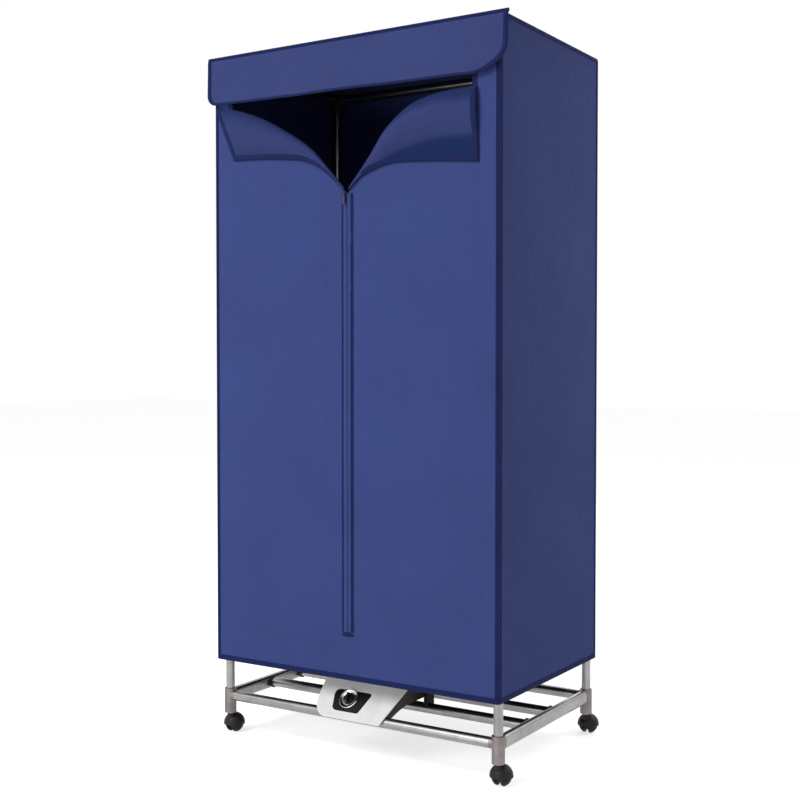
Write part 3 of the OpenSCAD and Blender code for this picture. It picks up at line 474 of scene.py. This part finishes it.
def front_y(x, z, side):
    """Y of the front cloth: soft hanging waves, flat at its seams, drawn in a little at the zip."""
    ease = smooth((z - HEM) / 0.08) * smooth((HINGE_X - x) / 0.06) * smooth((x - 0.016) / 0.05)
    waves = sum(height * ripple(x, z * stretch, scale, seed + side)
                for height, stretch, scale, seed in WAVES)
    pucker = (PUCKER * math.sin(z * 2 * math.pi / PUCKER_PITCH + side)
              * math.exp(-((x - PUCKER_X) / PUCKER_SPREAD) ** 2))
    return FLAT_Y - ease * (BILLOW + waves) - pucker * smooth((x - 0.014) / 0.01)


def front_cloth(side):
    """Half of the front, up to the fold. The left half also stands for the whole apron's node."""
    columns, steps_up = 62, 92
    xs = [BORDER_X * i / columns for i in range(columns + 1)] + [HINGE_X]
    tops = [FOLD[side](x) - FOLD_GAP if x < FOLD_END_X - NUDGE else DOOR_TOP[side] for x in xs]
    rows = []
    for x, top in zip(xs, tops):
        heights = [HEM + (top - HEM) * j / steps_up for j in range(steps_up + 1)]
        rows.append([Vector((side * max(x, SLIT if z > ZIP_BOTTOM else 0), front_y(x, z, side), z))
                     for z in heights])
    verts, faces = shell(rows, CLOTH_T)
    navy = [int(min(abs(verts[i].x) for i in f) > BORDER_X - NUDGE) for f in faces]
    name = SIDE_NAME[side]
    made = piece(f"{name}_front_cloth", verts, faces, [blue_cloth, navy_tape], navy)
    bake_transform(made)
    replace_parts(made, f"{name}_door_panel", *(["cover_apron"] if side == LEFT else []))


def stile(side):
    """The strip of cloth beside the opening, from the door's top to the roof, with a bound inner edge."""
    columns, steps_up = 8, 24
    low, high, inner = DOOR_TOP[side], PANEL_TOP, STILE_X[side]
    band = inner + BAND_W
    xs = [inner, inner + BAND_W / 2]
    xs += [band + (BORDER_X - band) * i / columns for i in range(columns + 1)] + [HINGE_X]
    rows = []
    for x in xs:
        row = []
        for t in (j / steps_up for j in range(steps_up + 1)):
            y = FLAT_Y + (front_y(x, low, side) - FLAT_Y) * (1 - smooth(t / 0.7))
            row.append(Vector((side * x, y, low + (high - low) * t)))
        rows.append(row)
    verts, faces = shell(rows, CLOTH_T)
    navy = []
    for face in faces:
        reach = [abs(verts[i].x) for i in face]
        navy.append(int(min(reach) > BORDER_X - NUDGE or max(reach) < band + NUDGE))
    name = SIDE_NAME[side]
    made = piece(f"{name}_stile_cloth", verts, faces, [blue_cloth, navy_tape], navy)
    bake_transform(made)
    return made


front_cloth(LEFT)
front_cloth(RIGHT)
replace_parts(stile(LEFT), "cover_stiles")
stile(RIGHT)

# ---------- zip: a covered placket on each door, with a dark stitched edge ----------

ZIP_HALF, GROOVE_IN, RIDGE = 0.0142, 0.0088, 0.0022     # from the zip's line, outwards
ZIP_WOBBLE = 0.03                                       # share of its width by which it wavers
PLACKET_TOP, PLACKET_Y = VEE_Z - 0.004, FRONT_Y + 0.0004
# Sections, as (outwards, towards the back): half of the placket, and the tape behind the slit
PLACKET = [(SLIT, 0.0), (SLIT, -0.0034), (RIDGE * 0.6, -0.0037), (RIDGE, -0.0030), (0.0036, -0.0024),
           (0.0064, -0.0026), (GROOVE_IN, -0.0021), (GROOVE_IN + 0.0008, -0.0011),
           (0.0122, -0.0011), (ZIP_HALF, -0.0013), (ZIP_HALF + 0.0006, 0.0)]
ZIP_TAPE = [(0.0035, 0.0019), (-0.0030, 0.0019), (-0.0030, 0.0029), (0.0035, 0.0029)]


def zip_placket(side):
    """Half of the placket, run up the zip. The left half has the tape, which the closed zip holds."""
    count = 150
    path, axes = [], []
    for j in range(count + 1):
        z = ZIP_BOTTOM + (PLACKET_TOP - ZIP_BOTTOM) * j / count
        wobble = 1 + ZIP_WOBBLE * ripple(z, 0, 0.05, 44 + side)
        path.append(Vector((0, PLACKET_Y, z)))
        axes.append((Vector((side * wobble, 0, 0)), Vector((0, 1, 0))))
    parts = [sweep(path, axes, PLACKET if side == RIGHT else PLACKET[::-1])]
    if side == LEFT:
        parts.append(sweep(path, axes, ZIP_TAPE))
    verts, faces = joined(*parts)
    first = len(parts[0][1])     # number of the first face of the tape
    groove = GROOVE_IN * (1 - ZIP_WOBBLE / 2)
    navy = [int(k >= first or min(abs(verts[i].x) for i in f) > groove) for k, f in enumerate(faces)]
    navy[first - 2:first] = [0, 0]     # the placket's two ends are plain
    name = SIDE_NAME[side]
    made = piece(f"{name}_zip_placket", verts, faces, [blue_cloth, navy_tape], navy)
    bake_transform(made)
    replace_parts(made, f"{name}_zip_tape")


def zip_stop(low, high):
    """A small sewn bar with rounded ends, across the zip's foot."""
    steps = 8
    profile = [(u * (high.z - low.z) / 2, v * (high.y - low.y) / 2) for u, v in ring_points(10)]
    middle = (low + high) / 2
    path, axes = [], []
    for k in range(steps + 1):
        t = -math.cos(math.pi * k / steps)
        swell = max(0.25, math.sqrt(1 - 0.96 * t ** 4))
        path.append(Vector((middle.x + t * (high.x - low.x) / 2, middle.y, middle.z)))
        axes.append((Vector((0, 0, swell)), Vector((0, swell, 0))))
    made = piece("zip_stop", *sweep(path, axes, profile), [navy_tape])
    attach(made, "root")


zip_placket(LEFT)
zip_placket(RIGHT)
zip_stop(Vector((-0.0145, -0.2308, 0.2575)), Vector((0.0145, -0.2268, 0.2660)))

# ---------- lapels: the unzipped corners, rolled back over the doors ----------

LAPEL_ACROSS, LAPEL_DOWN = 56, 26     # steps of a lapel's mesh
BEHIND = 4                            # points of each row that lie behind the door and over the fold
FOLD_Y = FRONT_Y - 0.001
LIE_TOP, LIE_LOW = 0.0041, 0.0031     # how far out from there it lies under its fold and at its free edge
ROLL = {LEFT: 0.0055, RIGHT: 0.0135}     # how much further its roll stands out
BAND_START = 14                       # columns over which the band at its free edge grows to full width
LAPEL_BAND = [(-0.0008, -0.0012), (BAND_W - 0.0008, -0.0012), (BAND_W, 0.0002), (BAND_W - 0.001, 0.0016),
              (0.0030, 0.0021), (-0.0004, 0.0016), (-0.0014, 0.0002)]     # as (inwards, out)


def lapel_roll(side, t, v):
    """How far the turned-back cloth stands out, t along the fold and v down from it."""
    if side == LEFT:
        return ROLL[side] * math.sin(math.pi * v ** 0.8) * edge_ease(t, 0.25) ** 0.5
    tucked = 0.62 + 0.2 * (1 - smooth(t / 0.8))
    ease = smooth(t / 0.2) ** 0.5 * (1 - 0.55 * smooth((t - 0.7) / 0.3))
    return ROLL[side] * math.sin(math.pi * min(1.0, v / tucked) ** 0.85) * ease


def lapel_painted_shade(side, t, v):
    """Painted shade: dark close under the fold, on the right on the flat below the roll, in its shadow,
    and on the left a little everywhere and more towards the free edge.
    """
    if side == LEFT:
        return 0.13 + 0.6 * (1 - smooth(v / 0.35)) + 0.25 * smooth((v - 0.6) / 0.4)
    start = 0.56 + 0.2 * (1 - smooth(t / 0.8))
    return min(1.0, 0.8 * (1 - smooth((v - 0.08) / 0.16)) + smooth((v - start) / 0.16))


def lapel_grid(side):
    """Points of the lapel, from behind the fold over it to the free edge, and the painted shade of each.
    """
    rows, painted_shades = [], []
    for i in range(LAPEL_ACROSS + 1):
        t = i / LAPEL_ACROSS
        x_top, x_low = (LAPEL_START + t * (end[side] - LAPEL_START) for end in (LAPEL_END, LAPEL_CORNER))
        top = Vector((side * x_top, 0, FOLD[side](x_top)))
        low = Vector((side * x_low, 0, FREE_EDGE[side](x_low)))
        full = smooth((low - top).length / 0.10)
        roll = 0.0035 + 0.0025 * full
        row = []
        for j in range(LAPEL_DOWN + 1):
            if j < BEHIND:          # behind the door and up over the fold
                # painted shade: fully dark behind the door and over the fold
                painted_shades.append(1.0)
                angle = math.pi * (0.15 + 0.35 * j / (BEHIND - 1))
                row.append(top + Vector((0, FOLD_Y + math.cos(angle) * roll,
                                         math.sin(angle) * roll - roll * 0.6)))
            else:
                v = (j - BEHIND + 1) / (LAPEL_DOWN - BEHIND + 1)
                painted_shades.append(lapel_painted_shade(side, t, v))
                soft = 1 + 0.2 * ripple(x_top, v * 0.1, 0.09, 60 + side)
                out = LIE_TOP * (1 - v) + LIE_LOW * v + full * soft * lapel_roll(side, t, v)
                row.append(top.lerp(low, v) + Vector((0, FOLD_Y - out, (1 - v) ** 4 * 0.002)))
        rows.append(row)
    return rows, painted_shades


def inwards(points):
    """The direction along a line of cloth points, from its first to where the band ends."""
    first = points[0]
    return (next((p for p in points if (p - first).length > BAND_W), points[-1]) - first).normalized()


def lapel_binding(side, rows):
    """The bound edge, from the zip's end along the free edge, round the corner and up the outer edge."""
    corner = rows[-1][-1]
    free = [(row[-1], inwards(row[::-1]) * smooth(0.3 + i / BAND_START)) for i, row in enumerate(rows)]
    outer = [(rows[-1][j], inwards([row[j] for row in rows[::-1]]))
             for j in range(LAPEL_DOWN - 1, BEHIND - 1, -1)]
    mitre = (corner, free[-1][1] + outer[0][1])
    line = ([p for p in free if (p[0] - corner).length > BAND_W] + [mitre]
            + [p for p in outer if (p[0] - corner).length > BAND_W])
    path, axes = [p for p, _ in line], [(inward, OUT) for _, inward in line]
    return piece(f"{SIDE_NAME[side]}_lapel_binding", *sweep(path, axes, LAPEL_BAND), [navy_tape])


def lapel(side):
    name = SIDE_NAME[side]
    rows, painted_shades = lapel_grid(side)
    made = piece(f"{name}_lapel", *shell(rows, CLOTH_T), [lapel_cloth])
    # the painted shade goes on the mesh as a point attribute
    made.data.attributes.new("painted_shade", "FLOAT", "POINT").data.foreach_set("value", painted_shades * 2)
    soften = made.modifiers.new("soft", "SUBSURF")
    soften.levels = soften.render_levels = 1
    bpy.context.view_layer.update()
    made.data = bpy.data.meshes.new_from_object(
        made.evaluated_get(bpy.context.evaluated_depsgraph_get()))
    made.modifiers.clear()
    bound = lapel_binding(side, rows)
    chord = Vector((side * FOLD_END_X, 0, FOLD[side](FOLD_END_X) - VEE_Z)).normalized()
    for cloth_piece in (made, bound):
        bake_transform(cloth_piece)
    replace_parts(made, f"{name}_flap")


lapel(LEFT)
lapel(RIGHT)

# ---------- binding: tape folded over every edge of the cover ----------

TAPE_W, TAPE_T = 0.0100, 0.0016
PROUD, CORNER_R = 0.0010, 0.0045     # how far it stands out, and its rounding along an edge
STEP = 0.012                         # between two sections of a tape
ROOF_R, ROOF_STEPS = 0.006, 5        # the roof's corners
# Section of the flat tape folded round the lower edge, as (inwards, up)
HEM_TAPE = [(-0.0009, 0.0), (-0.0014, 0.0014), (-0.0014, HEM_H - 0.001), (-0.0006, HEM_H),
            (0.0006, HEM_H), (0.0022, HEM_H - 0.001), (0.0022, 0.0014), (0.0014, 0.0), (0.0004, -0.0008)]


def corner_profile(wing_a, wing_b):
    """A folded tape's section: one wing along each face, with a rounded corner between. Its first
    direction goes in over the face of wing_a, and its second out of that face."""
    steps = 4
    outer, inner = [(wing_a, -TAPE_T * 0.2), (wing_a - 0.001, PROUD)], [(wing_a, -TAPE_T)]
    for turn in (math.pi / 2 * k / steps for k in range(steps + 1)):
        for points, r in ((outer, CORNER_R + PROUD), (inner, CORNER_R - TAPE_T)):
            points.append((CORNER_R - r * math.sin(turn), r * math.cos(turn) - CORNER_R))
    outer += [(-PROUD, -wing_b + 0.001), (TAPE_T * 0.2, -wing_b)]
    inner.append((TAPE_T, -wing_b))
    return outer + inner[::-1]


def upright_tape(side, face):
    """The tape on an upright corner, on the left or right side and the front (-1) or back (1) face."""
    path = run(Vector((side * SIDE_X, face * BACK_Y, HEM + 0.004)),
               Vector((side * SIDE_X, face * BACK_Y, COVER_TOP - 0.006)), STEP)
    axes = []
    for p in path:
        wobble = 1 + 0.05 * ripple(p.z, 0, 0.06, 70 + side + 3 * face)
        axes.append((Vector((-side, 0, 0)), Vector((0, face * wobble, 0))))
    profile = corner_profile(SIDE_X - HINGE_X if face < 0 else TAPE_W, TAPE_W)
    return sweep(path, axes, profile if side * face > 0 else profile[::-1])


def cover_outline():
    """Points round the cover seen from above, at height 0, and the outward direction of each."""
    rounded = []
    for sx, sy, first in ((1, -1, -90), (1, 1, 0), (-1, 1, 90), (-1, -1, 180)):
        centre = Vector((sx * (SIDE_X - ROOF_R), sy * (BACK_Y - ROOF_R), 0))
        for k in range(ROOF_STEPS + 1):
            turn = math.radians(first + 90 * k / ROOF_STEPS)
            out = Vector((math.cos(turn), math.sin(turn), 0))
            rounded.append((centre + out * ROOF_R, out))
    outline = []
    for (p, out), (q, next_out) in zip(rounded, rounded[1:] + rounded[:1]):
        count = max(1, round((q - p).length / STEP))
        outline += [(p.lerp(q, j / count), out.lerp(next_out, j / count).normalized())
                    for j in range(count)]
    return outline


def binding():
    parts = [upright_tape(side, face) for side in (LEFT, RIGHT) for face in (-1, 1)]
    outline = cover_outline()
    axes = [(-out, UP * (1 + 0.05 * ripple(p.x, p.y, 0.06, 90))) for p, out in outline]
    parts.append(sweep([p + UP * COVER_TOP for p, _ in outline], axes,
                       corner_profile(TAPE_W, TAPE_W)[::-1], closed=True))
    axes = [(-out * (1 + 0.1 * ripple(p.x, p.y, 0.05, 95)), UP) for p, out in outline]
    parts.append(sweep([p + UP * HEM for p, _ in outline], axes, HEM_TAPE, closed=True))
    made = piece("cover_binding", *joined(*parts), [navy_tape])
    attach(made, "root")
    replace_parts(made, "cover_piping")


binding()

# ---------- valance: a bowed flap with a bound edge, hung from the roof's front edge ----------

VALANCE_TOP, VALANCE_Y, VALANCE_LOW = 1.479, -0.2322, 1.366
VALANCE_LEFT, VALANCE_RIGHT = -0.363, 0.369
LEFT_R, RIGHT_RX, RIGHT_RZ = 0.022, 0.078, 0.052     # roundings of its lower corners
LEFT_ROUND, RIGHT_ROUND = VALANCE_LEFT + LEFT_R, VALANCE_RIGHT - RIGHT_RX     # X where they start
TOP_TAPE = 0.007                                     # height of the navy tape along its top
BEAD_R, BEAD_Z = 0.0036, 1.477                       # the bead that it hangs from
BELOW_BEAD, BOW = 0.0032, 0.0028     # how far it stands out just below the bead, and further at its foot
DROOP = curve([(-0.363, 1.378), (-0.300, 1.3765), (-0.200, 1.3745), (-0.120, 1.373), (0.0, 1.372),
               (0.120, 1.369), (0.250, 1.3675), (0.300, VALANCE_LOW), (0.369, VALANCE_LOW)])
VALANCE_BAND = [(-0.0006, -0.0012), (0.0090, -0.0012), (0.0100, 0.0002), (0.0088, 0.0015),
                (0.0036, 0.0020), (0.0, 0.0015), (-0.0012, 0.0002)]     # as (inwards, out)


def valance_y(x, drop):
    """Y at a drop below the valance's top: over the bead, then down with a slight outward bow."""
    lift = smooth(drop / 0.1)
    waves = 0.0016 * ripple(x, drop, 0.16, 101) + 0.0014 * math.sin(x * 9 + 0.6)
    return VALANCE_Y - BELOW_BEAD * smooth(drop / 0.008) - lift * (BOW + waves)


def valance_bottom(x):
    left = min(1.0, max(0.0, (LEFT_ROUND - x) / LEFT_R))
    right = min(1.0, max(0.0, (x - RIGHT_ROUND) / RIGHT_RX))
    return (DROOP(x) + LEFT_R * (1 - math.sqrt(1 - left ** 2))
            + RIGHT_RZ * (1 - math.sqrt(1 - right ** 2)))


def valance_columns():
    """X of each column of the valance's mesh, close together in its roundings."""
    left, middle, right = 8, 60, 14
    xs = [VALANCE_LEFT + LEFT_R * (1 - math.cos(math.pi / 2 * k / left)) for k in range(left)]
    xs += [LEFT_ROUND + (RIGHT_ROUND - LEFT_ROUND) * k / middle for k in range(middle)]
    return xs + [RIGHT_ROUND + RIGHT_RX * math.sin(math.pi / 2 * k / right) for k in range(right + 1)]


def valance_edge(xs):
    """The bound edge, down the left end, along the bottom and up the right end."""
    outline = ([Vector((VALANCE_LEFT, 0, VALANCE_TOP))] + [Vector((x, 0, valance_bottom(x))) for x in xs]
               + [Vector((VALANCE_RIGHT, 0, VALANCE_TOP))])
    dense = []
    for p, q in zip(outline, outline[1:]):
        dense += run(p, q, 0.008)[:-1] if (q - p).length > STEP else [p]
    dense.append(outline[-1])
    path, axes = [], []
    for p, before, after in zip(dense, dense[:1] + dense, dense[1:] + dense[-1:]):
        inward = OUT.cross((after - before).normalized())
        # the band is twice as wide in the roundings as along the straight edge
        rounding = max(smooth((LEFT_ROUND - p.x) / LEFT_R), smooth((p.x - RIGHT_ROUND) / RIGHT_RX * 1.6))
        path.append(Vector((p.x, valance_y(p.x, VALANCE_TOP - p.z), p.z)))
        axes.append((inward * (0.5 + 0.5 * rounding), OUT))
    return sweep(path, axes, VALANCE_BAND)


def valance_bead():
    """The round bead along the roof's front edge."""
    profile = [(u * BEAD_R, v * BEAD_R) for u, v in ring_points(10)]
    line = run(Vector((VALANCE_LEFT, VALANCE_Y, BEAD_Z)),
               Vector((VALANCE_RIGHT, VALANCE_Y, BEAD_Z)), STEP)
    return sweep(line, [(Vector((0, 1, 0)), UP)] * len(line), profile)


def valance():
    steps_down = 16
    xs = valance_columns()
    rows = []
    for x in xs:
        deep = VALANCE_TOP - valance_bottom(x)
        drops = [deep - (deep - TOP_TAPE) * j / steps_down for j in range(steps_down + 1)] + [0.003, 0.0]
        rows.append([Vector((x, valance_y(x, drop), VALANCE_TOP - drop)) for drop in drops])
    verts, faces = shell(rows, CLOTH_T)
    navy = [int(min(verts[i].z for i in face) > VALANCE_TOP - TOP_TAPE - NUDGE) for face in faces]
    made = piece("valance_cloth", verts, faces, [valance_cloth, navy_tape], navy)
    bound = piece("valance_binding", *joined(valance_edge(xs), valance_bead()), [navy_tape])
    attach(made, "valance")
    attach(bound, "valance")
    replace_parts(made, "valance")


valance()

# ---------- studio ----------


def seen_directly(tree):
    """1 for what the camera, a reflection or a clear part sees directly."""
    rays = tree.nodes.new("ShaderNodeLightPath")
    seen = rays.outputs["Is Camera Ray"]
    for kind in ("Is Glossy Ray", "Is Transmission Ray"):
        most = tree.nodes.new("ShaderNodeMath")
        most.operation = "MAXIMUM"
        tree.links.new(seen, most.inputs[0])
        tree.links.new(rays.outputs[kind], most.inputs[1])
        seen = most.outputs[0]
    return seen


def mix_by_ray(tree, lit, shown, output):
    """Lit lights the object, and shown is what is seen directly."""
    mix = tree.nodes.new("ShaderNodeMixShader")
    tree.links.new(seen_directly(tree), mix.inputs[0])
    tree.links.new(lit.outputs[0], mix.inputs[1])
    tree.links.new(shown.outputs[0], mix.inputs[2])
    tree.links.new(mix.outputs[0], output.inputs["Surface"])


def node_of(tree, kind, **inputs):
    made = tree.nodes.new(kind)
    for name, value in inputs.items():
        made.inputs[name].default_value = value
    return made


def pale_world(strength):
    world = bpy.data.worlds.new("studio")
    bpy.context.scene.world = world
    world.use_nodes = True
    tree = world.node_tree
    tree.nodes.clear()
    mix_by_ray(tree, node_of(tree, "ShaderNodeBackground", Color=WHITE, Strength=strength),
               node_of(tree, "ShaderNodeBackground", Color=WHITE, Strength=1.0),
               tree.nodes.new("ShaderNodeOutputWorld"))


def pale_floor(half, glow):
    """A floor that glows for the eye alone, so that it looks white and still takes the shadow."""
    mesh = bpy.data.meshes.new("floor")
    mesh.from_pydata([(-half, -half, 0), (half, -half, 0), (half, half, 0), (-half, half, 0)],
                     [], [(0, 1, 2, 3)])
    material = bpy.data.materials.new("floor")
    material.use_nodes = True
    tree = material.node_tree
    tree.nodes.clear()
    shown = tree.nodes.new("ShaderNodeAddShader")
    for k, shader in enumerate((node_of(tree, "ShaderNodeBsdfDiffuse", Color=(0.9, 0.9, 0.9, 1)),
                                node_of(tree, "ShaderNodeEmission", Color=WHITE, Strength=glow))):
        tree.links.new(shader.outputs[0], shown.inputs[k])
    mix_by_ray(tree, node_of(tree, "ShaderNodeBsdfDiffuse", Color=(0.8, 0.8, 0.8, 1)), shown,
               tree.nodes.new("ShaderNodeOutputMaterial"))
    mesh.materials.append(material)
    placed("floor", mesh)


def area_light(name, place, target, size, power):
    data = bpy.data.lights.new(name, "AREA")
    data.size, data.energy = size, power
    lamp = placed(name, data)
    lamp.location = place
    lamp.rotation_euler = (Vector(target) - Vector(place)).to_track_quat("-Z", "Y").to_euler()


pale_world(strength=0.35)
pale_floor(half=20, glow=0.66)
area_light("key", (-1.5, -3.9, 3.7), (0, 0, 0.8), size=2.4, power=131)
area_light("low", (-0.5, -3.0, 0.35), (0, -0.2, 0.12), size=1.2, power=20)
area_light("side", (1.3, 1.1, 1.2), (0.35, 0.2, 0.8), size=0.7, power=6.5)
area_light("rim", (-0.6, 4.0, 2.8), (0, 0, 0.8), size=2.4, power=45)

bpy.context.scene.view_settings.view_transform = "Standard"
